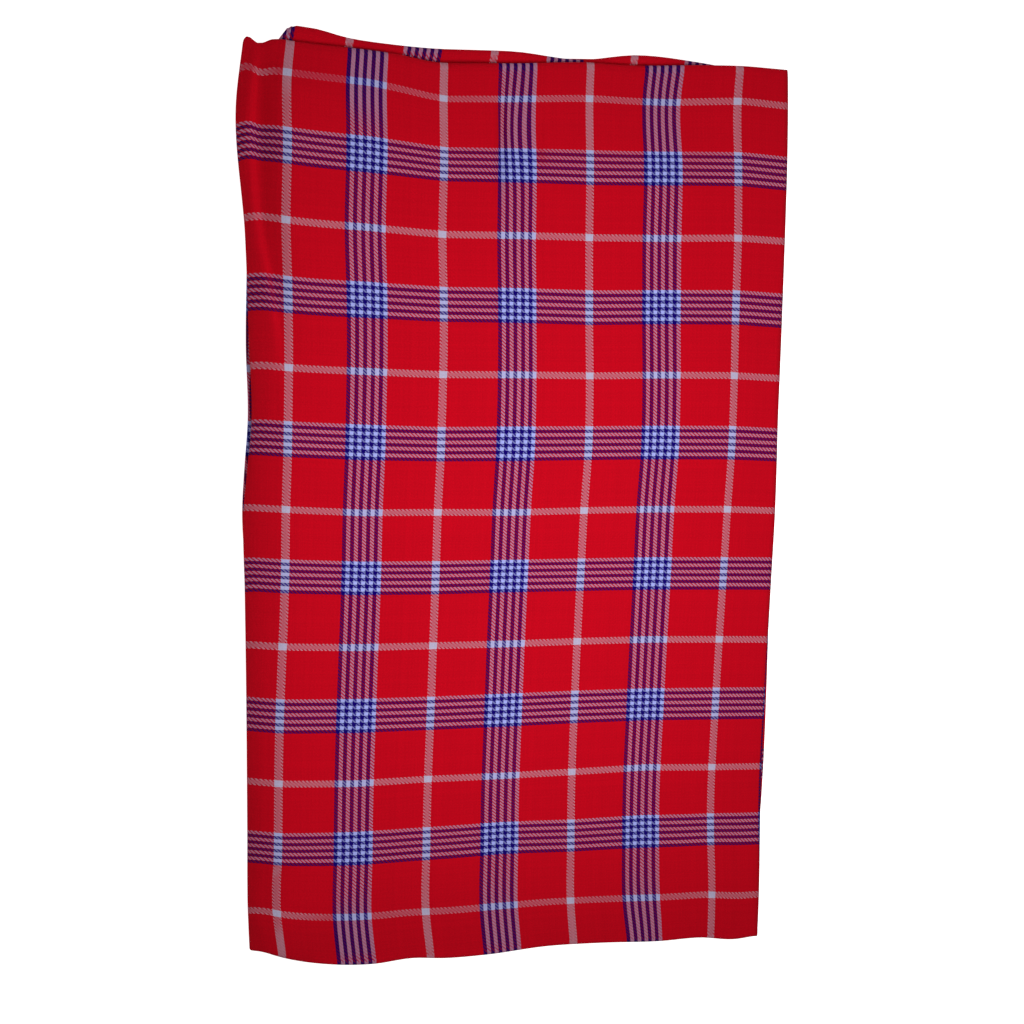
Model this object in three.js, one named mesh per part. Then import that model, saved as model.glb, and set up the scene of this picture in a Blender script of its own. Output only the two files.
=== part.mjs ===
// A folded Maasai shuka: one woven cloth, folded in three along its length, then pleated in four across.
// Looked down on, +X is the right of the packet, +Y its top and +Z up. Sizes are millimetres.
import * as THREE from 'three';

const { clamp, lerp, smoothstep } = THREE.MathUtils;

// Cloth and packet
const cloth = 1.3; // thickness of the woven sheet
const pitch = 1.8; // from one ply to the next, which leaves a thin air gap between them
const packetLength = 608;
const packetWidth = 375;
const clothColour = '#b90a1c';

// Fold in three along the length: the tuck and the flap lie behind the face, the flap outermost
const tuckShort = 14; // the tuck's free edge stops this far below the top fold
const flapShort = 9; // the flap's free edge stops this far above the bottom fold
const lengthLayers = [
  { level: pitch, outward: 1 },
  { level: 0, outward: -1 },
  { level: 2 * pitch, outward: 1 },
];
const lengthEnds = [
  { at: packetLength / 2 - tuckShort, side: 0, radius: 0, stretch: 0 },
  { at: -packetLength / 2, side: -1, radius: (pitch + cloth) / 2, stretch: 2 },
  { at: packetLength / 2, side: 1, radius: pitch + cloth / 2, stretch: 2 },
  { at: -packetLength / 2 + flapShort, side: 0, radius: 0, stretch: 0 },
];

// Pleat in four across: the level of each layer's face, counted in plies from the floor
const acrossLayers = [
  { facePly: 11, inward: -1 },
  { facePly: 6, inward: 1 },
  { facePly: 5, inward: -1 },
  { facePly: 0, inward: 1 },
];
const pleatRadius = 2.5 * pitch + cloth / 2;
const acrossEnds = [
  { name: 'selvedge', side: 0, radius: 0, stretch: 0 },
  { name: 'leftFold', side: -1, radius: pleatRadius, stretch: 1.9 },
  { name: 'rightFold', side: 1, radius: pleatRadius, stretch: 1.6 },
  { name: 'lowerFold', side: -1, radius: pleatRadius, stretch: 1.9 },
  { name: 'lastEdge', side: 0, radius: 0, stretch: 0 },
];

// Where each edge of the pleat lies, one row for each height on the packet
const pleatRows = [
  { y: -304, selvedge: 195, leftFold: -175, rightFold: 188.5, lowerFold: -172.5, lastEdge: 184 },
  { y: -215, selvedge: 190, leftFold: -178.3, rightFold: 194, lowerFold: -174.5, lastEdge: 184 },
  { y: -110, selvedge: 188.7, leftFold: -180.8, rightFold: 193.3, lowerFold: -177.5, lastEdge: 183 },
  { y: 5, selvedge: 189, leftFold: -183.5, rightFold: 189, lowerFold: -183, lastEdge: 182 },
  { y: 75, selvedge: 187.4, leftFold: -181.3, rightFold: 184.8, lowerFold: -183.2, lastEdge: 181 },
  { y: 180, selvedge: 185.7, leftFold: -186.2, rightFold: 181.5, lowerFold: -184.5, lastEdge: 178 },
  { y: 262, selvedge: 184, leftFold: -193.2, rightFold: 179, lowerFold: -188, lastEdge: 175 },
  { y: 304, selvedge: 183.4, leftFold: -188.3, rightFold: 177.5, lowerFold: -184, lastEdge: 172 },
];

// How far the top and bottom edges stand out from the plain rectangle, one row for each place across
const edgeRows = [
  { x: -192, frontTop: 0, backTop: 5, bottom: 1 },
  { x: -187, frontTop: 1.2, backTop: 4, bottom: 1.5 },
  { x: -179, frontTop: -4.8, backTop: -6, bottom: 3 },
  { x: -171, frontTop: -1.4, backTop: -6, bottom: 7 },
  { x: -166, frontTop: -0.6, backTop: 7, bottom: 7.3 },
  { x: -160, frontTop: -0.6, backTop: 12.5, bottom: 5.5 },
  { x: -150, frontTop: -0.5, backTop: 13, bottom: 2 },
  { x: -120, frontTop: -0.5, backTop: 7.5, bottom: -4.3 },
  { x: -90, frontTop: -2, backTop: 5, bottom: -6.1 },
  { x: -62, frontTop: -5.5, backTop: 4, bottom: -3.8 },
  { x: -40, frontTop: -4.5, backTop: 4.5, bottom: -5.4 },
  { x: -10, frontTop: -3, backTop: 5, bottom: -5 },
  { x: 35, frontTop: 0, backTop: 2, bottom: -1.7 },
  { x: 75, frontTop: 0, backTop: 7, bottom: -2 },
  { x: 120, frontTop: 2.5, backTop: 4.5, bottom: -3.7 },
  { x: 150, frontTop: 3.5, backTop: 1, bottom: -3.2 },
  { x: 178, frontTop: 2.8, backTop: -1, bottom: -6.6 },
  { x: 192, frontTop: 2.5, backTop: -2, bottom: -5.6 },
];
const edgeFade = 38; // how far in from the edge its waves die out
const backInset = 3; // the layers behind stop short of the face along the bottom
const corner = { lift: 8, reach: 45, from: 10, to: 180 }; // the face is drawn up towards the top left

// The packet thins towards its edges and dips in a few soft hollows, as shares of its height
const edgeRolls = [
  { edge: 'top', drop: 0.22, reach: 80 },
  { edge: 'bottom', drop: 0.2, reach: 70 },
  { edge: 'left', drop: 0.34, reach: 45 },
  { edge: 'right', drop: 0.1, reach: 60 },
];
const hollows = [
  { x: -170, y: 205, acrossReach: 20, lengthReach: 90, depth: 0.05 },
  { x: -18, y: 262, acrossReach: 26, lengthReach: 40, depth: 0.05 },
  { x: 60, y: 265, acrossReach: 30, lengthReach: 40, depth: 0.03 },
  { x: 118, y: 262, acrossReach: 28, lengthReach: 40, depth: 0.04 },
  { x: -160, y: -254, acrossReach: 22, lengthReach: 32, depth: 0.04 },
];

// Where the sheet is cut into facets: shares of each flat, and steps round each fold
const leftwardCuts = [0, 0.05, 0.2, 0.36, 0.53, 0.7, 0.86, 0.93, 0.97, 1];
const rightwardCuts = leftwardCuts.map((share) => 1 - share).reverse();
const lengthCuts = [0, 0.03, 0.09, 0.2, 0.36, 0.52, 0.68, 0.82, 0.91, 0.97, 1];
const foldSteps = 6;

// A smooth curve through a table's rows, giving all its other columns by name
function curveThrough(table, axis) {
  const columns = Object.keys(table[0]).filter((name) => name !== axis);
  const places = table.map((row) => row[axis]);
  const values = table.flatMap((row) => columns.map((name) => row[name]));
  const spline = new THREE.CubicInterpolant(places, values, columns.length);
  return (place) => {
    const found = spline.evaluate(place);
    return Object.fromEntries(columns.map((name, i) => [name, found[i]]));
  };
}

const pleatAt = curveThrough(pleatRows, 'y');
const edgeAt = curveThrough(edgeRows, 'x');

// The facet lines along a back-and-forth path: the cuts of each flat, then the steps round the fold after it
function pathSamples(cutsOfLayers) {
  const samples = [];
  cutsOfLayers.forEach((cuts, layer) => {
    cuts.forEach((share) => samples.push({ layer, share, angle: 0 }));
    const folded = layer < cutsOfLayers.length - 1;
    for (let step = 1; folded && step < foldSteps; step++) {
      samples.push({ layer, share: 1, angle: (Math.PI * step) / foldSteps });
    }
  });
  return samples;
}

// A point of a back-and-forth path, given the level of each layer and the ends that it turns at
function pathPoint({ layer, share, angle }, levelOf, ends) {
  const turnOf = (end) => end.at - end.side * end.stretch * end.radius;
  if (angle === 0) {
    return { place: lerp(turnOf(ends[layer]), turnOf(ends[layer + 1]), share), level: levelOf(layer) };
  }
  const end = ends[layer + 1];
  const half = (levelOf(layer) - levelOf(layer + 1)) / 2;
  return {
    place: turnOf(end) + end.side * end.stretch * Math.abs(half) * Math.sin(angle),
    level: (levelOf(layer) + levelOf(layer + 1)) / 2 + half * Math.cos(angle),
  };
}

// How far a point is drawn along the length by the wavy edges and the raised corner
function rise(x, y, depth) {
  const edge = edgeAt(x);
  const behind = Math.min(depth, 1);
  const topShare = Math.exp((y - packetLength / 2) / edgeFade);
  const bottomShare = Math.exp((-y - packetLength / 2) / edgeFade);
  const leftShare = Math.exp(-(x + packetWidth / 2) / corner.reach);
  const cornerShare = leftShare * smoothstep(y, corner.from, corner.to);
  return (
    lerp(edge.frontTop, edge.backTop, behind) * topShare +
    (edge.bottom + backInset * behind) * bottomShare +
    corner.lift * cornerShare * (1 - behind)
  );
}

// The height of the packet at a place, as a share of its full height
function loft(x, y) {
  const inside = {
    top: packetLength / 2 - y,
    bottom: packetLength / 2 + y,
    left: packetWidth / 2 + x,
    right: packetWidth / 2 - x,
  };
  let share = 1;
  for (const { edge, drop, reach } of edgeRolls) {
    share -= drop * clamp(1 - inside[edge] / reach, 0, 1) ** 2;
  }
  for (const hollow of hollows) {
    const across = (x - hollow.x) / hollow.acrossReach;
    const along = (y - hollow.y) / hollow.lengthReach;
    share -= hollow.depth * Math.exp(-across * across - along * along);
  }
  return share;
}

// A point on the outer (1) or inner (-1) side of the sheet
function sheetPoint(acrossSample, lengthSample, side) {
  const fold = pathPoint(
    lengthSample,
    (layer) => lengthLayers[layer].level + (side * lengthLayers[layer].outward * cloth) / 2,
    lengthEnds,
  );
  const row = pleatAt(fold.place);
  const pleat = pathPoint(
    acrossSample,
    (layer) => cloth / 2 + acrossLayers[layer].facePly * pitch + acrossLayers[layer].inward * fold.level,
    acrossEnds.map((end) => ({ ...end, at: row[end.name] })),
  );
  const depth = acrossSample.layer + acrossSample.angle / Math.PI;
  const y = fold.place + rise(pleat.place, fold.place, depth);
  return [pleat.place, y, pleat.level * loft(pleat.place, y)];
}

// The facets of one side of the sheet, seen from outside
function sideFacets(rows, columns, offset, outer) {
  const facets = [];
  for (let i = 0; i < rows - 1; i++) {
    for (let j = 0; j < columns - 1; j++) {
      const a = offset + i * columns + j;
      const [b, c, d] = [a + 1, a + columns, a + columns + 1];
      facets.push(...(outer ? [a, b, d, a, d, c] : [a, d, b, a, c, d]));
    }
  }
  return facets;
}

// The narrow strip round the sheet's four free edges, which joins its two sides
function rimFacets(rows, columns) {
  const border = [];
  for (let j = 0; j < columns - 1; j++) border.push(j);
  for (let i = 0; i < rows - 1; i++) border.push(i * columns + columns - 1);
  for (let j = columns - 1; j > 0; j--) border.push((rows - 1) * columns + j);
  for (let i = rows - 1; i > 0; i--) border.push(i * columns);
  const inner = rows * columns;
  return border.flatMap((here, n) => {
    const next = border[(n + 1) % border.length];
    return [next, here, here + inner, next, here + inner, next + inner];
  });
}

// The whole folded sheet as one closed mesh, centred on its box and standing on the floor
function foldedSheet() {
  const across = pathSamples(acrossLayers.map(({ inward }) => (inward < 0 ? leftwardCuts : rightwardCuts)));
  const lengthwise = pathSamples(lengthLayers.map(() => lengthCuts));
  const [rows, columns] = [across.length, lengthwise.length];
  const points = [1, -1].flatMap((side) =>
    across.flatMap((u) => lengthwise.flatMap((v) => sheetPoint(u, v, side))),
  );
  const geometry = new THREE.BufferGeometry();
  geometry.setAttribute('position', new THREE.Float32BufferAttribute(points, 3));
  geometry.setIndex([
    ...sideFacets(rows, columns, 0, true),
    ...sideFacets(rows, columns, rows * columns, false),
    ...rimFacets(rows, columns),
  ]);
  geometry.computeBoundingBox();
  const middle = geometry.boundingBox.getCenter(new THREE.Vector3());
  geometry.translate(-middle.x, -middle.y, -geometry.boundingBox.min.z);
  geometry.computeVertexNormals();
  return geometry;
}

const shuka = new THREE.Mesh(
  foldedSheet(),
  new THREE.MeshStandardMaterial({ color: clothColour, roughness: 0.95, metalness: 0 }),
);
shuka.name = 'shuka_cloth';

const group = new THREE.Group();
group.add(shuka);

export default group;
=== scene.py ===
from math import cos, pi, radians, sin

import bpy
import numpy as np
from mathutils import Matrix, Vector


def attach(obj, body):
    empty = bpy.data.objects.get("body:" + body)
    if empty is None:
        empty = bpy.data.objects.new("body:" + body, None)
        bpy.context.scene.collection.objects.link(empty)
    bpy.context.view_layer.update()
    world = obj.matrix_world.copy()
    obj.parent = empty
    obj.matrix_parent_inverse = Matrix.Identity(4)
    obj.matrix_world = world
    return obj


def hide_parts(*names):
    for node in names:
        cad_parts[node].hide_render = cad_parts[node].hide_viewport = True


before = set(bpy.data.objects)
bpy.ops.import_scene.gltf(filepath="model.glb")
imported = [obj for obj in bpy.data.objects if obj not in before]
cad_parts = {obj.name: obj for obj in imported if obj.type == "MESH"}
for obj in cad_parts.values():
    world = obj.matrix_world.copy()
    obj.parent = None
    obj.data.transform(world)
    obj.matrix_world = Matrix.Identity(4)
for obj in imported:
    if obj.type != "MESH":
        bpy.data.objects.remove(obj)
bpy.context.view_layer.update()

mm = 0.001

# the folded cloth: millimetres, looked down on, +x to its right and +y to its top
shuka = dict(
    cloth=1.3,  # thickness of the woven sheet
    pitch=1.8,  # from one ply to the next
    width=375.0,
    length=608.0,
    tuckShort=14.0,  # the tuck stops this far below the top fold
    flapShort=9.0,  # the flap stops this far above the bottom fold
    lengthStretch=2,  # how many times deeper than round the top and bottom folds are
    pleatStretch=dict(leftFold=1.9, rightFold=1.6, lowerFold=1.9),  # and the folds of the pleat
    pleatTurn=5,  # plies between the two ends of a pleat fold's outermost turn
    edgeFade=38.0,  # how far in from an edge its waves die out
    backInset=3.0,  # the layers behind stop this far short along the bottom
    cornerLift=8.0,  # the face is drawn up this far at the top left
    cornerReach=45.0,
    cornerFrom=10.0,
    cornerTo=180.0,
    puff=5.0,  # the face lies this loose over the plies under it
    kneeSoftness=0.15,  # of the shoulder where the left roll meets the flat face
    rollSlack=5.6,  # cloth taken up by the roll along the left edge
    slackFrom=0.5,  # taken up from this share of the way round the left fold
    gather=1.063,  # the second layer is a little gathered
)

# the pleat's layers from the front to the bottom: the ply of the face, and which way the flaps lie from it
layerFaces = [
    dict(ply=11, way=-1),
    dict(ply=6, way=1),
    dict(ply=5, way=-1),
    dict(ply=0, way=1),
]

# where each edge of the pleat lies, from the bottom up
pleatRows = [
    dict(y=-304, selvedge=195, leftFold=-175, rightFold=188.5, lowerFold=-172.5, lastEdge=184),
    dict(y=-265, selvedge=192.4, leftFold=-177.2, rightFold=192, lowerFold=-173.5, lastEdge=184),
    dict(y=-215, selvedge=190, leftFold=-178.3, rightFold=194, lowerFold=-174.5, lastEdge=184),
    dict(y=-110, selvedge=188.7, leftFold=-180.8, rightFold=193.3, lowerFold=-177, lastEdge=183),
    dict(y=-50, selvedge=188.8, leftFold=-182.6, rightFold=191.5, lowerFold=-180, lastEdge=182.5),
    dict(y=5, selvedge=189, leftFold=-184.2, rightFold=189, lowerFold=-184, lastEdge=182),
    dict(y=32, selvedge=188.5, leftFold=-182.3, rightFold=187.5, lowerFold=-183, lastEdge=181.5),
    dict(y=63, selvedge=187.6, leftFold=-180.2, rightFold=185.2, lowerFold=-181.4, lastEdge=181),
    dict(y=112, selvedge=186.9, leftFold=-182.6, rightFold=183.2, lowerFold=-183.4, lastEdge=180),
    dict(y=180, selvedge=185.7, leftFold=-186.2, rightFold=181.5, lowerFold=-184, lastEdge=178),
    dict(y=262, selvedge=184, leftFold=-193.2, rightFold=179, lowerFold=-188, lastEdge=175),
    dict(y=304, selvedge=183.4, leftFold=-188.3, rightFold=177.5, lowerFold=-184, lastEdge=172),
]

# how far the top and bottom edges stand out, from the left to the right
edgeRows = [
    dict(x=-192, frontTop=0, backTop=5, bottom=1),
    dict(x=-187, frontTop=1.2, backTop=4, bottom=1.5),
    dict(x=-179, frontTop=-4.8, backTop=-6, bottom=3),
    dict(x=-171, frontTop=-1.4, backTop=-6, bottom=7),
    dict(x=-166, frontTop=-0.6, backTop=7, bottom=7.3),
    dict(x=-160, frontTop=-0.6, backTop=12.5, bottom=5.5),
    dict(x=-150, frontTop=-0.5, backTop=13, bottom=2),
    dict(x=-120, frontTop=-0.5, backTop=7.5, bottom=-4.3),
    dict(x=-90, frontTop=-2, backTop=5, bottom=-6.1),
    dict(x=-62, frontTop=-5.5, backTop=4, bottom=-3.8),
    dict(x=-40, frontTop=-4.5, backTop=4.5, bottom=-5.4),
    dict(x=-10, frontTop=-3, backTop=5, bottom=-5),
    dict(x=35, frontTop=0, backTop=2, bottom=-1.7),
    dict(x=75, frontTop=0, backTop=7, bottom=-2),
    dict(x=120, frontTop=2.5, backTop=4.5, bottom=-3.7),
    dict(x=150, frontTop=3.5, backTop=1, bottom=-3.2),
    dict(x=178, frontTop=2.8, backTop=-1, bottom=-6.6),
    dict(x=192, frontTop=2.5, backTop=-2, bottom=-5.6),
]

# shares of its height that the packet loses near its edges and in its soft hollows
edgeRolls = [
    dict(edge="top", drop=0.25, reach=80, power=2),
    dict(edge="bottom", drop=0.2, reach=60, power=2),
    dict(edge="left", drop=0.42, reach=30, power=1.4),
    dict(edge="right", drop=0.1, reach=60, power=2),
]
hollows = [
    dict(x=-177, y=215, acrossReach=9, lengthReach=80, depth=0.08),
    dict(x=-18, y=262, acrossReach=16, lengthReach=34, depth=0.07),
    dict(x=60, y=265, acrossReach=30, lengthReach=34, depth=0.04),
    dict(x=118, y=262, acrossReach=26, lengthReach=34, depth=0.04),
    dict(x=-166, y=-256, acrossReach=14, lengthReach=22, depth=0.06),
]

# the cloth lies a little askew: how far its checks lean to the right and lift, at its lines and bands
driftPlaces = dict(line1=-160, band1=-109, line2=-58, band2=-6, line3=46, band3=98, line4=150, edge=190)
leanRows = [
    dict(y=-304, line1=-2, line2=-1, line3=-1, band3=1.5, line4=0),
    dict(y=-270, line1=-5, line2=-5, line3=-4, band3=-3.5, line4=-0.5),
    dict(y=-224, line1=-3, line2=-4.5, line3=-4.5, band3=-5, line4=-2.5),
    dict(y=-132, line1=-2, line2=-3, line3=-4.5, band3=-4.5, line4=-2),
    dict(y=-40, line1=-0.5, line2=-2.5, line3=-4, band3=-4, line4=-1),
    dict(y=6, line1=-1, line2=-2.5, line3=-3.5, band3=-4, line4=-0.5),
    dict(y=52, line1=0.5, line2=-0.5, line3=-1, band3=-1.5, line4=1.5),
    dict(y=144, line1=0.5, line2=0, line3=-3, band3=-3.5, line4=1),
    dict(y=190, line1=-1, line2=-1.5, line3=-4, band3=-4.5, line4=1),
    dict(y=236, line1=0, line2=-0.5, line3=-4, band3=-4, line4=0),
    dict(y=282, line1=0.5, line2=0, line3=-3.5, band3=-4.5, line4=-0.5),
    dict(y=304, line1=3.5, line2=1, line3=-2, band3=-1, line4=1.5),
]
liftRows = [
    dict(y=-304, line1=-1, band1=-2, line2=-2, band2=-1, line3=-1, band3=-1.5, line4=-2.5, edge=-4),
    dict(y=-270, line1=1.5, band1=0, line2=-0.5, band2=0.5, line3=0, band3=-0.5, line4=-1.5, edge=-3.5),
    dict(y=-224, line1=2, band1=1.5, line2=2, band2=3.5, line3=2, band3=2.5, line4=0.5, edge=-1.5),
    dict(y=-178, line1=1.5, band1=0, line2=1, band2=1, line3=1.5, band3=2.5, line4=-0.5, edge=-2.5),
    dict(y=-132, line1=1.5, band1=0.5, line2=0.5, band2=1, line3=1.5, band3=1.5, line4=-0.5, edge=-2.5),
    dict(y=-86, line1=2.5, band1=1, line2=1, band2=1, line3=1.5, band3=1.5, line4=-0.5, edge=-2.5),
    dict(y=-40, line1=4, band1=2, line2=1.5, band2=2, line3=2, band3=2, line4=0.5, edge=-1),
    dict(y=6, line1=2, band1=-0.5, line2=-0.5, band2=-1, line3=0, band3=0.5, line4=-0.5, edge=-2.5),
    dict(y=52, line1=1.5, band1=0, line2=-1, band2=-0.5, line3=0, band3=0.5, line4=0, edge=-2),
    dict(y=144, line1=-0.5, band1=0, line2=-1, band2=-0.5, line3=-1, band3=0.5, line4=1, edge=-1),
    dict(y=190, line1=0.5, band1=0.5, line2=-1.5, band2=-0.5, line3=-0.5, band3=0.5, line4=2, edge=0.5),
    dict(y=236, line1=1.5, band1=1, line2=-1.5, band2=-0.5, line3=-0.5, band3=1, line4=2, edge=0),
    dict(y=282, line1=1.5, band1=1, line2=-4, band2=-2.5, line3=-1.5, band3=-2, line4=0, edge=-1.5),
    dict(y=304, line1=2, band1=1, line2=-4.5, band2=-3, line3=-2.5, band3=-2.5, line4=-0.5, edge=-2.5),
]

# how finely the sheet is cut
meshCuts = dict(
    evenShare=0.7,  # the rest of the cuts crowd towards the ends of a run
    front=60,
    rollFrom=0.86,  # closer together from this share of the front on, for the left roll
    roll=35,
    pinchFrom=0.475,  # and between these shares, for the middle crease
    pinchTo=0.58,
    pinch=22,
    second=46,
    under=16,  # each of the two lowest layers
    pleatFold=12,
    tuckAndFlap=22,
    face=150,
    lengthFold=8,
)


def readRows(rows, axis, column, at):  # a smooth curve through the rows
    places = np.array([row[axis] for row in rows], float)
    values = np.array([row[column] for row in rows], float)
    slopes = np.gradient(values, places)
    k = np.clip(np.searchsorted(places, at) - 1, 0, len(places) - 2)
    step = places[k + 1] - places[k]
    t = np.clip((at - places[k]) / step, 0, 1)
    start = (1 + 2 * t) * (1 - t) ** 2 * values[k] + t * (1 - t) ** 2 * step * slopes[k]
    stop = t * t * (3 - 2 * t) * values[k + 1] + t * t * (t - 1) * step * slopes[k + 1]
    return start + stop


def smooth(value, low, high):  # 0 below, 1 above, and an easy slope between
    t = np.clip((value - low) / (high - low), 0, 1)
    return t * t * (3 - 2 * t)


def mound(x, y, spot):  # 1 at the spot, dying out round it
    beside = (x - spot["x"]) / spot["acrossReach"]
    above = (y - spot["y"]) / spot["lengthReach"]
    return np.exp(-(beside**2 + above**2))


def easedCuts(count):  # shares of a flat run, closer together near its ends
    t = np.linspace(0, 1, count + 1)
    return meshCuts["evenShare"] * t + (1 - meshCuts["evenShare"]) * (1 - np.cos(pi * t)) / 2


def frontCuts():  # closer together by the left roll and the middle crease
    c = meshCuts
    flat = c["rollFrom"] * easedCuts(c["front"])
    roll = c["rollFrom"] + (1 - c["rollFrom"]) * np.linspace(0, 1, c["roll"])
    crease = np.linspace(c["pinchFrom"], c["pinchTo"], c["pinch"])
    return np.unique(np.concatenate([flat, roll, crease]).round(4))


def pathSamples(cutsOfLayers, foldSteps):  # layer, share and angle of each line along a folded path
    samples = []
    for layer, cuts in enumerate(cutsOfLayers):
        samples += [(layer, share, 0.0) for share in cuts]
        if layer < len(cutsOfLayers) - 1:
            samples += [(layer, 1.0, pi * step / foldSteps) for step in range(1, foldSteps)]
    return np.array(samples)


lowCuts = easedCuts(meshCuts["under"])
endCuts = easedCuts(meshCuts["tuckAndFlap"])
layerCuts = (frontCuts(), easedCuts(meshCuts["second"]), lowCuts, lowCuts)
acrossSamples = pathSamples(layerCuts, meshCuts["pleatFold"])
lengthSamples = pathSamples((endCuts, easedCuts(meshCuts["face"]), endCuts), meshCuts["lengthFold"])
layersDeep = acrossSamples[:, 0] + acrossSamples[:, 2] / pi  # counts on round each fold of the pleat


def foldedPath(samples, levels, ends):  # place and level along a back-and-forth path
    layer = samples[:, 0].astype(int)
    share, angle = samples[:, 1:2], samples[:, 2:3]
    after = np.minimum(layer + 1, len(levels) - 1)
    turns = np.array([end["at"] - end["side"] * end["stretch"] * end["radius"] for end in ends])
    swing = np.array([end["side"] * end["stretch"] for end in ends])[layer + 1][:, None]
    half = (levels[layer] - levels[after]) / 2
    place = turns[layer] + (turns[layer + 1] - turns[layer]) * share + swing * np.abs(half) * np.sin(angle)
    level = (levels[layer] + levels[after]) / 2 + half * np.cos(angle)
    return place, level


def freeEnd(at):
    return dict(at=at, side=0, stretch=0, radius=0)


def lengthFold(face):  # the fold in three, on the sheet's outer side (1), inner side (-1) or middle (0)
    s = shuka
    half = s["length"] / 2
    stretch = s["lengthStretch"]
    ends = [
        freeEnd(np.array([half - s["tuckShort"]])),
        dict(at=np.array([-half]), side=-1, stretch=stretch, radius=(s["pitch"] + s["cloth"]) / 2),
        dict(at=np.array([half]), side=1, stretch=stretch, radius=s["pitch"] + s["cloth"] / 2),
        freeEnd(np.array([-half + s["flapShort"]])),
    ]
    skin = face * s["cloth"] / 2
    levels = np.array([[s["pitch"] + skin], [-skin], [2 * s["pitch"] + skin]])  # tuck, face, flap
    return foldedPath(lengthSamples, levels, ends)


def acrossPleat(y, level):  # the pleat in four, for each line of the length fold
    s = shuka
    radius = (s["pleatTurn"] * s["pitch"] + s["cloth"]) / 2
    row = {name: readRows(pleatRows, "y", name, y) for name in pleatRows[0] if name != "y"}
    ends = [freeEnd(row["selvedge"])]
    for name, side in (("leftFold", -1), ("rightFold", 1), ("lowerFold", -1)):
        ends.append(dict(at=row[name], side=side, stretch=s["pleatStretch"][name], radius=radius))
    ends.append(freeEnd(row["lastEdge"]))
    levels = [s["cloth"] / 2 + layer["ply"] * s["pitch"] + layer["way"] * level for layer in layerFaces]
    return foldedPath(acrossSamples, np.array(levels), ends)


def edgeRise(x, y, behind):  # the wavy edges and the raised corner
    s = shuka
    top = np.exp((y - s["length"] / 2) / s["edgeFade"])
    bottom = np.exp((-y - s["length"] / 2) / s["edgeFade"])
    corner = np.exp(-(x + s["width"] / 2) / s["cornerReach"]) * smooth(y, s["cornerFrom"], s["cornerTo"])
    front, back, low = (readRows(edgeRows, "x", name, x) for name in ("frontTop", "backTop", "bottom"))
    waves = (front + (back - front) * behind) * top + (low + s["backInset"] * behind) * bottom
    return waves + s["cornerLift"] * corner * (1 - behind)


def loft(x, y):  # the packet's height as a share of the whole
    halfWidth, halfLength = shuka["width"] / 2, shuka["length"] / 2
    inside = dict(top=halfLength - y, bottom=halfLength + y, left=halfWidth + x, right=halfWidth - x)
    share = np.ones_like(x)
    for roll in edgeRolls:
        share -= roll["drop"] * np.clip(1 - inside[roll["edge"]] / roll["reach"], 0, 1) ** roll["power"]
    for hollow in hollows:
        share -= hollow["depth"] * mound(x, y, hollow)
    return share


# the roll along the left edge, and the crease inside it, from the bottom up
rollRows = [
    dict(y=-304, width=18, crease=-150, depth=0),
    dict(y=-215, width=21, crease=-150, depth=0),
    dict(y=-110, width=25, crease=-150, depth=0),
    dict(y=30, width=26, crease=-152, depth=0),
    dict(y=75, width=23, crease=-157, depth=0.5),
    dict(y=105, width=20, crease=-161, depth=1.2),
    dict(y=140, width=16, crease=-166, depth=3),
    dict(y=166, width=12, crease=-171, depth=4.2),
    dict(y=194, width=9, crease=-176.5, depth=4.8),
    dict(y=262, width=8, crease=-181, depth=5),
    dict(y=304, width=8, crease=-178, depth=4.8),
]
creaseReach = dict(left=3.2, right=11.0)

# other creases of the face: soft troughs (below 0) and ridges (above 0) through listed points
creases = [
    dict(  # the pinch in the middle band
        points=[(-22, 300), (-21, 276), (-20, 256), (-20.5, 236), (-22, 205)],
        widths=[2.6, 2.4, 2.4, 2.8, 4],
        heights=[-2.5, -6, -6, -4, 0],
    ),
    dict(
        points=[(-8, 288), (-7, 262), (-8, 232)],
        widths=[6, 6, 7],
        heights=[0.2, 0.9, 0],
    ),
    dict(
        points=[(-29, 290), (-28, 264), (-28, 230)],
        widths=[7, 7, 8],
        heights=[0.1, 0.7, 0],
    ),
    dict(
        points=[(7, 278), (6, 258), (8, 236)],
        widths=[3, 2.6, 3.5],
        heights=[0, -2.2, 0],
    ),
    dict(  # the nick low on the left
        points=[(-152, -232), (-160, -242), (-170, -256)],
        widths=[4, 4.5, 4.5],
        heights=[0, -1.2, -0.9],
    ),
]
pinch = dict(x=-20, y=256, acrossReach=13, lengthReach=30, draw=6)  # cloth drawn into the middle crease
swells = [  # broad rises (above 0) and dips (below 0) of the face
    dict(x=9, y=268, acrossReach=26, lengthReach=22, height=-0.9),
    dict(x=117, y=272, acrossReach=28, lengthReach=22, height=-0.9),
    dict(x=62, y=262, acrossReach=24, lengthReach=24, height=0.7),
    dict(x=-90, y=262, acrossReach=40, lengthReach=26, height=0.5),
    dict(x=-178, y=-253, acrossReach=7, lengthReach=7, height=0.9),
    dict(x=-177, y=-275, acrossReach=7, lengthReach=6, height=0.8),
    dict(x=0, y=0, acrossReach=150, lengthReach=230, height=1.2),
]

# where the relief dies out: in from the top and bottom edges, and in from the selvedge
reliefFade = dict(
    endFrom=-12,
    endTo=34,
    endMore=60,  # further in, to the right of the roll
    moreFrom=-150,
    moreTo=-60,
    selvedgeFrom=-10,
    selvedgeTo=100,
    stopSharpness=3,  # how sharply a trough stops at the ply below
)


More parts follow.
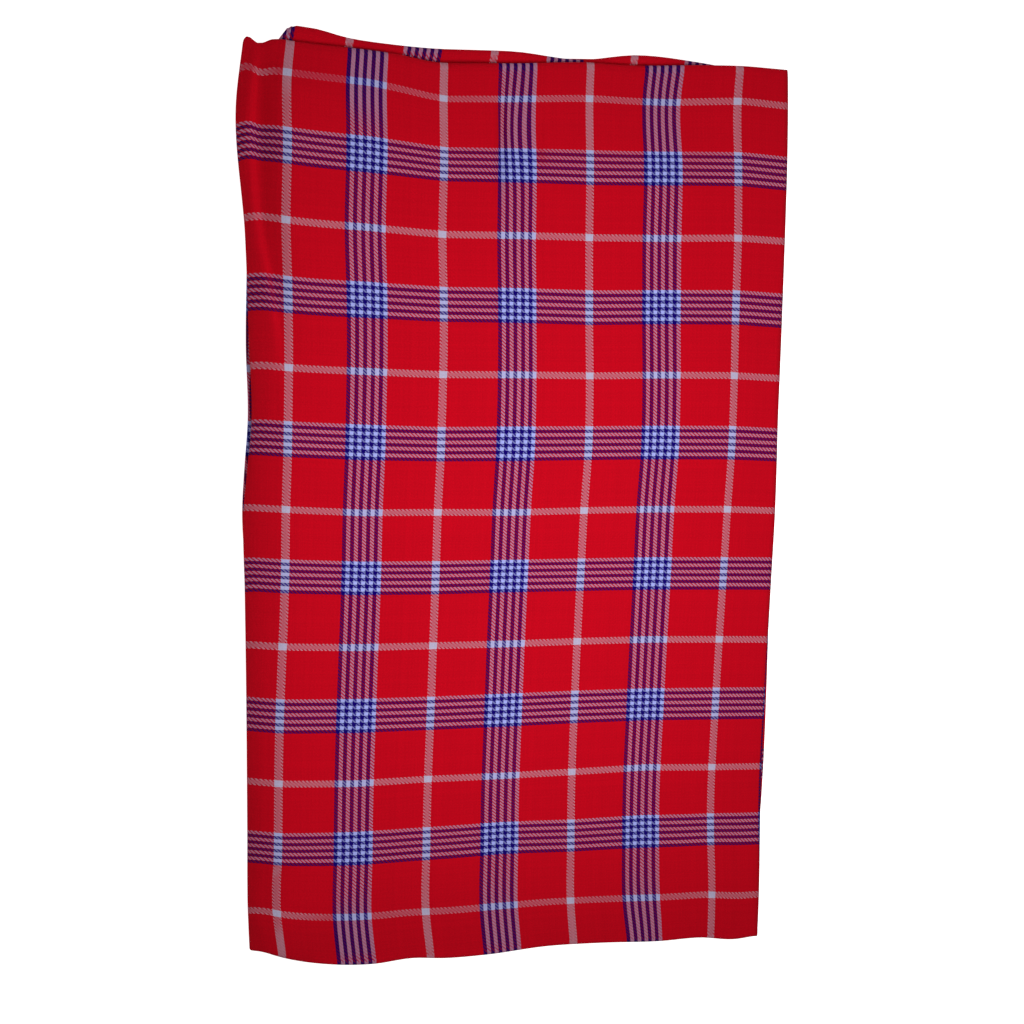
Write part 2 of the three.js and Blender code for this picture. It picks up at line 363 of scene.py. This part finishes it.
def creaseHeight(x, y, crease):  # a soft line through the crease's points
    total = np.zeros_like(x)
    best = np.full_like(x, np.inf)
    points = np.array(crease["points"], float)
    for k in range(len(points) - 1):
        run = points[k + 1] - points[k]
        t = np.clip(((x - points[k, 0]) * run[0] + (y - points[k, 1]) * run[1]) / run.dot(run), 0, 1)
        away = np.hypot(x - points[k, 0] - t * run[0], y - points[k, 1] - t * run[1])
        width = crease["widths"][k] + (crease["widths"][k + 1] - crease["widths"][k]) * t
        height = crease["heights"][k] + (crease["heights"][k + 1] - crease["heights"][k]) * t
        nearer = away < best
        total = np.where(nearer, height * np.exp(-((away / width) ** 2)), total)
        best = np.where(nearer, away, best)
    return total


def rolledLeft(x, y):  # up from the left fold to the shoulder, less the crease beside it
    row = {name: readRows(rollRows, "y", name, y) for name in ("width", "crease", "depth")}
    t = (x - readRows(pleatRows, "y", "leftFold", y)) / row["width"]
    soft = shuka["kneeSoftness"]
    knee = -soft * np.logaddexp(-t / soft, -1 / soft)
    past = x - row["crease"]
    reach = np.where(past < 0, creaseReach["left"], creaseReach["right"])
    return shuka["puff"] * knee - row["depth"] * np.exp(-((past / reach) ** 2))


def faceRelief(x, y):  # how far the face stands off the plies under it
    f = reliefFade
    relief = rolledLeft(x, y)
    for swell in swells:
        relief += swell["height"] * mound(x, y, swell)
    for crease in creases:
        relief += creaseHeight(x, y, crease)
    endTo = f["endTo"] + f["endMore"] * smooth(x, f["moreFrom"], f["moreTo"])
    ends = smooth(shuka["length"] / 2 - np.abs(y), f["endFrom"], endTo)
    selvedge = readRows(pleatRows, "y", "selvedge", y)
    right = smooth(selvedge - x, f["selvedgeFrom"], f["selvedgeTo"])
    sharp = f["stopSharpness"]
    return np.logaddexp(0, sharp * relief) / sharp * ends * right  # never under the ply below


def onFace():  # 1 on the packet's face, falling to 0 round its top and bottom folds
    layer, angle = lengthSamples[:, 0], lengthSamples[:, 2]
    share = np.where(layer == 1, (1 + np.cos(angle)) / 2, 0)
    return np.where((layer == 0) & (angle > 0), (1 - np.cos(angle)) / 2, share)


def onFront():  # 1 on the first layer of the pleat, falling to 0 round its left fold
    return np.where(acrossSamples[:, 0] == 0, (1 + np.cos(acrossSamples[:, 2])) / 2, 0)[:, None]


def sheetSide(face):  # all the points of one side of the sheet
    y, level = lengthFold(face)
    y, level = y[:, 0], level[:, 0]
    x, z = acrossPleat(y, level)
    y = np.broadcast_to(y, x.shape)
    behind = np.minimum(layersDeep, 1)[:, None]
    y = y + edgeRise(x, y, behind)
    z = z * loft(x, y)
    z = z + faceRelief(x, y) * onFace() * onFront()
    return np.stack([x, y, z], -1)


def walked(place, level):  # the distance along a path, from its start
    steps = np.hypot(np.diff(place, axis=0), np.diff(level, axis=0))
    return np.concatenate([np.zeros((1, place.shape[1])), np.cumsum(steps, axis=0)])


def drift(rows, x, y):  # lean or lift of the checks at a place on the packet
    names = [name for name in rows[0] if name != "y"]
    places = [driftPlaces[name] for name in names]
    total = np.zeros_like(x)
    for name, share in zip(names, np.eye(len(names))):  # each column counts fully at its own place
        total += readRows(rows, "y", name, y) * np.interp(x, places, share)
    return total


def pinched(x, y):  # lean of the checks towards the middle crease, from both sides
    return -pinch["draw"] * (x - pinch["x"]) / pinch["acrossReach"] * mound(x, y, pinch)


def flatPlaces():  # where each point lies on the cloth laid flat, from its lower left corner
    y, level = lengthFold(0)
    along = walked(y, level)[:, 0]
    y = y[:, 0]
    x, z = acrossPleat(y, np.zeros(len(y)))
    across = walked(x, z)
    second = np.flatnonzero((acrossSamples[:, 0] == 1) & (acrossSamples[:, 2] == 0))
    behind = across[second[0]]
    gathered = np.clip(across - behind, 0, across[second[-1]] - behind)
    slack = shuka["rollSlack"] * smooth(layersDeep, shuka["slackFrom"], 1)[:, None]
    across = across + (shuka["gather"] - 1) * gathered + slack
    flatSize = (across[-1].mean(), along[-1])
    skewed = across + (drift(leanRows, x, y) + pinched(x, y)) * onFront()
    lifted = along - drift(liftRows, x, y) * onFace() * onFront()
    return flatSize[0] - skewed, lifted, flatSize


def faceMiddle():  # how far along the flat cloth the middle of the face lies, in metres
    y, level = lengthFold(0)
    along = walked(y, level)[:, 0]
    face = (lengthSamples[:, 0] == 1) & (lengthSamples[:, 2] == 0)
    return np.interp(0, y[face, 0], along[face]) * mm


def steepness(points):  # how far each point of a side leans up or down
    along, across = np.gradient(points, axis=1), np.gradient(points, axis=0)
    normals = np.cross(along, across)
    lengths = np.linalg.norm(normals, axis=-1)
    return np.abs(normals[..., 1]) / np.maximum(lengths, 1e-9)  # no division by 0


def rimLoop(rows, columns):  # the sheet's border, in the order that its faces run
    near = list(range(columns - 1))
    top = [i * columns + columns - 1 for i in range(rows - 1)]
    far = [(rows - 1) * columns + j for j in range(columns - 1, 0, -1)]
    low = [i * columns for i in range(rows - 1, 0, -1)]
    return np.array(near + top + far + low)


def sheetFaces(rows, columns):  # both sides, and the rim that joins them
    corner = (np.arange(rows - 1)[:, None] * columns + np.arange(columns - 1)).ravel()
    outer = np.stack([corner, corner + 1, corner + columns + 1, corner + columns], -1)
    inner = outer[:, ::-1] + rows * columns
    loop = rimLoop(rows, columns)
    after = np.roll(loop, -1)
    rim = np.stack([after, loop, loop + rows * columns, after + rows * columns], -1)
    return np.concatenate([outer, inner, rim])


def makeSheet():
    outer, inner = sheetSide(1), sheetSide(-1)
    middle = (outer.min((0, 1)) + outer.max((0, 1))) / 2
    middle[2] = 0
    points = (np.concatenate([outer.reshape(-1, 3), inner.reshape(-1, 3)]) - middle) * mm
    mesh = bpy.data.meshes.new("shukaCloth")
    mesh.from_pydata(points.tolist(), [], sheetFaces(*outer.shape[:2]).tolist())
    mesh.polygons.foreach_set("use_smooth", np.ones(len(mesh.polygons), bool))

    # the place on the flat cloth, and the tilt, of every point
    across, along, flatSize = flatPlaces()
    flat = np.stack([across.ravel() / flatSize[0], along.ravel() / flatSize[1]], -1)
    flat = np.concatenate([flat, flat])
    corners = np.empty(len(mesh.loops), int)
    mesh.loops.foreach_get("vertex_index", corners)
    mesh.uv_layers.new(name="flatCloth").data.foreach_set("uv", flat[corners].ravel().astype(np.float32))
    tilt = mesh.attributes.new("tilt", "FLOAT", "POINT")
    tilt.data.foreach_set("value", np.concatenate([steepness(outer).ravel(), steepness(inner).ravel()]))
    mesh.update()
    sheet = bpy.data.objects.new("shukaCloth", mesh)
    bpy.context.collection.objects.link(sheet)
    return sheet, [side * mm for side in flatSize]


sheet, flatSize = makeSheet()
print("cloth folded:", len(sheet.data.polygons), "faces, flat", [round(side, 3) for side in flatSize])

# the weave: thread counts, sizes in metres, and yarn colours
weave = dict(
    warpRepeat=152,  # ends in one check across
    weftRepeat=160,  # picks in one check along
    checkWidth=0.1033,
    checkLength=0.09205,
    bandThreads=40,  # a band is four blue, four white, five times over
    stripeThreads=8,  # one blue stripe and one white
    lineThreads=8,  # the white line midway between bands
    twillOver=2,  # a thread runs over two and under two
    selvedgeToLine=0.0370,  # from the selvedge to the middle of the first white line
    midToLine=0.0057,  # from the packet's middle up to the middle of a white line
    red=(0.74, 0.0068, 0.033, 1),
    white=(0.69, 0.64, 0.79, 1),  # of the lines
    pale=(0.58, 0.62, 0.95, 1),  # of the bands
    blue=(0.02, 0.004, 0.28, 1),
    bleed=0.63,  # how much a thread takes up the colour of the one that it crosses
    fuzz=0.03,  # how much of the thread below shows through
    coreFuzz=0.38,  # and inside a white line on red, whose threads lie close
    bendFrom=0.05,  # tilts between which the warp begins to stand out
    bendTo=0.25,
    warpShows=0.75,
    paintedEdgeShade=0.69,  # painted shade at a thread's edge; the next ones add the painted shade of its roundness, and the tone that chance and lint give
    paintedRoundShade=0.24,
    threadVary=0.10,
    lintVary=0.20,
    lintScale=1500,
    lintDetail=3,
    bumpStrength=0.35,
    bumpDistance=0.0002,
    roughness=0.95,
    specular=0.02,
    sheen=0.01,
    sheenRoughness=0.5,
)


def addNode(tree, kind, place, **settings):
    node = tree.nodes.new(kind)
    node.location = place
    for name, value in settings.items():
        setattr(node, name, value)
    return node


def feed(tree, sockets, values):  # inputs in order, from other sockets or plain values
    for socket, value in zip(sockets, values):
        if isinstance(value, bpy.types.NodeSocket):
            tree.links.new(value, socket)
        else:
            socket.default_value = value


def mathNode(tree, place, operation, *values):
    node = addNode(tree, "ShaderNodeMath", place, operation=operation)
    feed(tree, node.inputs, values)
    return node.outputs[0]


def mixColour(tree, place, factor, a, b, blend="MIX"):
    node = addNode(tree, "ShaderNodeMix", place, data_type="RGBA", blend_type=blend)
    feed(tree, [node.inputs[k] for k in (0, 6, 7)], (factor, a, b))  # its factor and colour inputs
    return node.outputs[2]


def threadOrderGroup():  # the colour of a thread, from its number
    w = weave
    group = bpy.data.node_groups.new("threadOrder", "ShaderNodeTree")
    group.interface.new_socket("Thread", in_out="INPUT", socket_type="NodeSocketFloat")
    group.interface.new_socket("Repeat", in_out="INPUT", socket_type="NodeSocketFloat")
    group.interface.new_socket("Colour", in_out="OUTPUT", socket_type="NodeSocketColor")
    group.interface.new_socket("Core", in_out="OUTPUT", socket_type="NodeSocketFloat")
    group.interface.new_socket("Band", in_out="OUTPUT", socket_type="NodeSocketFloat")
    given = addNode(group, "NodeGroupInput", (-1000, 0)).outputs
    count = mathNode(group, (-800, 0), "FLOORED_MODULO", given["Thread"], given["Repeat"])
    inBand = mathNode(group, (-600, 200), "LESS_THAN", count, w["bandThreads"])
    turn = mathNode(group, (-600, 0), "FLOORED_MODULO", count, w["stripeThreads"])
    first = mathNode(group, (-400, 0), "LESS_THAN", turn, w["stripeThreads"] / 2)
    isBlue = mathNode(group, (-200, 100), "MULTIPLY", inBand, first)
    bandWhite = mathNode(group, (-200, -50), "SUBTRACT", inBand, isBlue)

    # the white line lies midway between two bands, and its core is its inner half
    bandMiddle = (w["bandThreads"] - 1) / 2
    lineMiddle = mathNode(group, (-800, -250), "MULTIPLY_ADD", given["Repeat"], 0.5, bandMiddle)
    beside = mathNode(group, (-600, -250), "SUBTRACT", count, lineMiddle)
    apart = mathNode(group, (-400, -250), "ABSOLUTE", beside)
    inLine = mathNode(group, (-200, -250), "LESS_THAN", apart, w["lineThreads"] / 2)
    core = mathNode(group, (-200, -400), "LESS_THAN", apart, w["lineThreads"] / 4)
    colour = mixColour(group, (0, 0), inLine, w["red"], w["white"])
    colour = mixColour(group, (200, 0), bandWhite, colour, w["pale"])
    colour = mixColour(group, (400, 0), isBlue, colour, w["blue"])
    result = addNode(group, "NodeGroupOutput", (600, 0)).inputs
    group.links.new(colour, result["Colour"])
    group.links.new(core, result["Core"])
    group.links.new(inBand, result["Band"])
    return group


def threadNumbers(tree, uv):  # ends across and picks along, as running numbers
    w = weave
    place = addNode(tree, "ShaderNodeSeparateXYZ", (-2200, 0))
    tree.links.new(uv, place.inputs[0])
    endPitch = w["checkWidth"] / w["warpRepeat"]
    pickPitch = w["checkLength"] / w["weftRepeat"]
    lineEnd = (w["warpRepeat"] + w["bandThreads"]) / 2
    linePick = (w["weftRepeat"] + w["bandThreads"]) / 2
    endStart = lineEnd - (flatSize[0] - w["selvedgeToLine"]) / endPitch
    pickStart = linePick - (faceMiddle() + w["midToLine"]) / pickPitch
    across, along = place.outputs[0], place.outputs[1]
    ends = mathNode(tree, (-2000, 200), "MULTIPLY_ADD", across, flatSize[0] / endPitch, endStart)
    picks = mathNode(tree, (-2000, -200), "MULTIPLY_ADD", along, flatSize[1] / pickPitch, pickStart)
    return ends, picks


def twillColour(tree, ends, picks):  # the colour that shows, and whether it is the warp's
    w = weave
    end = mathNode(tree, (-1800, 200), "FLOOR", ends)
    pick = mathNode(tree, (-1800, -200), "FLOOR", picks)
    order = threadOrderGroup()
    warp = addNode(tree, "ShaderNodeGroup", (-1600, 300), node_tree=order)
    weft = addNode(tree, "ShaderNodeGroup", (-1600, -300), node_tree=order)
    feed(tree, warp.inputs, (end, w["warpRepeat"]))
    feed(tree, weft.inputs, (pick, w["weftRepeat"]))
    warpColour, weftColour = warp.outputs["Colour"], weft.outputs["Colour"]

    # two over, two under, one thread further along on each pick
    step = mathNode(tree, (-1600, 0), "ADD", end, pick)
    step = mathNode(tree, (-1400, 0), "FLOORED_MODULO", step, 2 * w["twillOver"])
    warpOver = mathNode(tree, (-1200, 0), "LESS_THAN", step, w["twillOver"])
    over = mixColour(tree, (-1000, 200), warpOver, weftColour, warpColour)
    under = mixColour(tree, (-1000, -100), warpOver, warpColour, weftColour)
    colour = mixColour(tree, (-800, 200), w["bleed"], over, under, "MULTIPLY")
    hidden = mixColour(tree, (-800, 0), w["bleed"], under, over, "MULTIPLY")

    # the thread below shows through, more in the core of a line where it crosses no band
    cores = []
    for thread, crossing, row in ((warp, weft, 600), (weft, warp, 400)):
        plain = mathNode(tree, (-1400, row), "SUBTRACT", 1.0, crossing.outputs["Band"])
        cores.append(mathNode(tree, (-1300, row), "MULTIPLY", thread.outputs["Core"], plain))
    core = mathNode(tree, (-1200, 500), "MAXIMUM", *cores)
    fuzz = mathNode(tree, (-1000, 500), "MULTIPLY_ADD", core, w["coreFuzz"] - w["fuzz"], w["fuzz"])
    colour = mixColour(tree, (-700, 100), fuzz, colour, hidden)

    # on steep folds the warp stands out and covers more of the weft
    tilt = addNode(tree, "ShaderNodeAttribute", (-1200, -400), attribute_name="tilt").outputs["Fac"]
    bend = addNode(tree, "ShaderNodeMapRange", (-1000, -400), interpolation_type="SMOOTHSTEP")
    feed(tree, bend.inputs, (tilt, w["bendFrom"], w["bendTo"], 0, w["warpShows"]))
    alone = mixColour(tree, (-800, -300), w["bleed"], warpColour, weftColour, "MULTIPLY")
    return mixColour(tree, (-600, 0), bend.outputs[0], colour, alone), warpOver


def paintedShadeAndThreadTone(tree, uv, ends, picks, warpOver):  # painted shade, darker at each thread's edges as if it were rounded, and some threads lighter in tone
    w = weave
    shown = addNode(tree, "ShaderNodeMix", (-1400, -600), data_type="FLOAT")
    feed(tree, [shown.inputs[k] for k in (0, 2, 3)], (warpOver, picks, ends))  # its factor and value inputs
    phase = mathNode(tree, (-1200, -600), "FRACT", shown.outputs[0])
    offset = mathNode(tree, (-1000, -600), "SUBTRACT", phase, 0.5)
    square = mathNode(tree, (-800, -600), "MULTIPLY", offset, offset)
    height = mathNode(tree, (-600, -600), "MULTIPLY_ADD", square, -4, 1)  # 0 at the edges, 1 on top
    chance = addNode(tree, "ShaderNodeTexWhiteNoise", (-1000, -800), noise_dimensions="1D")
    tree.links.new(mathNode(tree, (-1200, -800), "FLOOR", shown.outputs[0]), chance.inputs["W"])
    lint = addNode(tree, "ShaderNodeTexNoise", (-1000, -1000), noise_dimensions="2D")
    tree.links.new(uv, lint.inputs["Vector"])
    lint.inputs["Scale"].default_value = w["lintScale"]
    lint.inputs["Detail"].default_value = w["lintDetail"]
    # painted shade: each thread darker at its edges and lighter on its crown, then chance and lint vary its
    # tone
    paintedShadeAndTone = mathNode(tree, (-400, -600), "MULTIPLY_ADD", height, w["paintedRoundShade"], w["paintedEdgeShade"])
    paintedShadeAndTone = mathNode(tree, (-400, -750), "MULTIPLY_ADD", chance.outputs["Value"], w["threadVary"], paintedShadeAndTone)
    paintedShadeAndTone = mathNode(tree, (-400, -900), "MULTIPLY_ADD", lint.outputs["Fac"], w["lintVary"], paintedShadeAndTone)
    grey = addNode(tree, "ShaderNodeCombineColor", (-200, -500))
    feed(tree, grey.inputs, (paintedShadeAndTone, paintedShadeAndTone, paintedShadeAndTone))
    return height, grey.outputs[0]


def twillMaterial():
    w = weave
    material = bpy.data.materials.new("checkedTwill")
    material.use_nodes = True
    tree = material.node_tree
    shader = tree.nodes["Principled BSDF"]
    uv = addNode(tree, "ShaderNodeUVMap", (-2400, 0), uv_map="flatCloth").outputs[0]
    ends, picks = threadNumbers(tree, uv)
    colour, warpOver = twillColour(tree, ends, picks)
    height, paintedShadeAndTone = paintedShadeAndThreadTone(tree, uv, ends, picks, warpOver)
    # the painted thread shade and the threads' tone multiply the colour
    colour = mixColour(tree, (-200, 0), 1.0, colour, paintedShadeAndTone, "MULTIPLY")
    tree.links.new(colour, shader.inputs["Base Color"])
    bump = addNode(tree, "ShaderNodeBump", (-200, -300))
    bump.inputs["Strength"].default_value = w["bumpStrength"]
    bump.inputs["Distance"].default_value = w["bumpDistance"]
    tree.links.new(height, bump.inputs["Height"])
    tree.links.new(bump.outputs[0], shader.inputs["Normal"])
    shader.inputs["Roughness"].default_value = w["roughness"]
    shader.inputs["Specular IOR Level"].default_value = w["specular"]
    shader.inputs["Sheen Weight"].default_value = w["sheen"]
    shader.inputs["Sheen Roughness"].default_value = w["sheenRoughness"]
    return material


sheet.data.materials.append(twillMaterial())
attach(sheet, "root")
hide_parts("shuka_cloth")
print("cloth woven")

# camera in millimetres, floor and lamps in metres
studio = dict(
    cameraPlace=(-410.016, 209.923, 1386.0),
    cameraAim=(-5.216, 0.923, 22.8),
    cameraRoll=2.03,
    lens=75.0,
    sensorWidth=36,
    floorSize=60.0,
    floorDrop=0.0004,  # just under the cloth
    floorColour=(0.9, 0.9, 0.9, 1),
    floorRoughness=0.9,
    floorGlow=0.45,
    floorSeen=1.1,  # the glow that the camera sees
    lamps=[
        dict(name="key", place=(0.03, 0.0, 0.54), aim=(0.03, 0.0, 0.0), size=0.45, power=2.5),
        dict(name="fill", place=(0.0, 0.55, 0.5), aim=(0.0, 0.3, 0.0), size=0.4, power=0.26),
    ],
    worldColour=(1, 1, 1, 1),
    worldPower=0.14,
)


def makeCamera():
    place = Vector(studio["cameraPlace"]) * mm
    aim = Vector(studio["cameraAim"]) * mm
    back = (place - aim).normalized()
    right = Vector((0, 1, 0)).cross(back).normalized()
    up = back.cross(right)
    roll = radians(studio["cameraRoll"])
    turned = right * cos(roll) + up * sin(roll)
    data = bpy.data.cameras.new("camera")
    data.lens = studio["lens"]
    data.sensor_fit = "HORIZONTAL"
    data.sensor_width = studio["sensorWidth"]
    camera = bpy.data.objects.new("camera", data)
    bpy.context.collection.objects.link(camera)
    axes = Matrix((turned, back.cross(turned), back)).transposed()
    camera.matrix_world = Matrix.Translation(place) @ axes.to_4x4()
    bpy.context.scene.camera = camera


def makeFloor():
    bpy.ops.object.select_all(action="DESELECT")
    bpy.ops.mesh.primitive_plane_add(size=studio["floorSize"], location=(0, 0, -studio["floorDrop"]))
    floor = bpy.context.object
    floor.name = "floor"
    material = bpy.data.materials.new("paleFloor")
    material.use_nodes = True
    tree = material.node_tree
    shader = tree.nodes["Principled BSDF"]
    shader.inputs["Base Color"].default_value = studio["floorColour"]
    shader.inputs["Roughness"].default_value = studio["floorRoughness"]
    shader.inputs["Emission Color"].default_value = studio["floorColour"]
    seen = addNode(tree, "ShaderNodeLightPath", (-600, -200)).outputs["Is Camera Ray"]
    more = studio["floorSeen"] - studio["floorGlow"]
    glow = mathNode(tree, (-300, -200), "MULTIPLY_ADD", seen, more, studio["floorGlow"])
    tree.links.new(glow, shader.inputs["Emission Strength"])
    floor.data.materials.append(material)


def addLamp(name, place, aim, size, power):  # a soft round lamp
    data = bpy.data.lights.new(name, "AREA")
    data.shape = "DISK"
    data.size = size
    data.energy = power
    lamp = bpy.data.objects.new(name, data)
    lamp.location = place
    lamp.rotation_euler = (Vector(aim) - Vector(place)).to_track_quat("-Z", "Y").to_euler()
    lamp.visible_camera = False
    bpy.context.collection.objects.link(lamp)


def makeLights():
    for lamp in studio["lamps"]:
        addLamp(**lamp)
    world = bpy.data.worlds.new("studio")
    world.use_nodes = True
    sky = world.node_tree.nodes["Background"]
    sky.inputs["Color"].default_value = studio["worldColour"]
    sky.inputs["Strength"].default_value = studio["worldPower"]
    bpy.context.scene.world = world


makeCamera()
makeFloor()
makeLights()
bpy.context.scene.view_settings.view_transform = "Standard"
print("studio set")
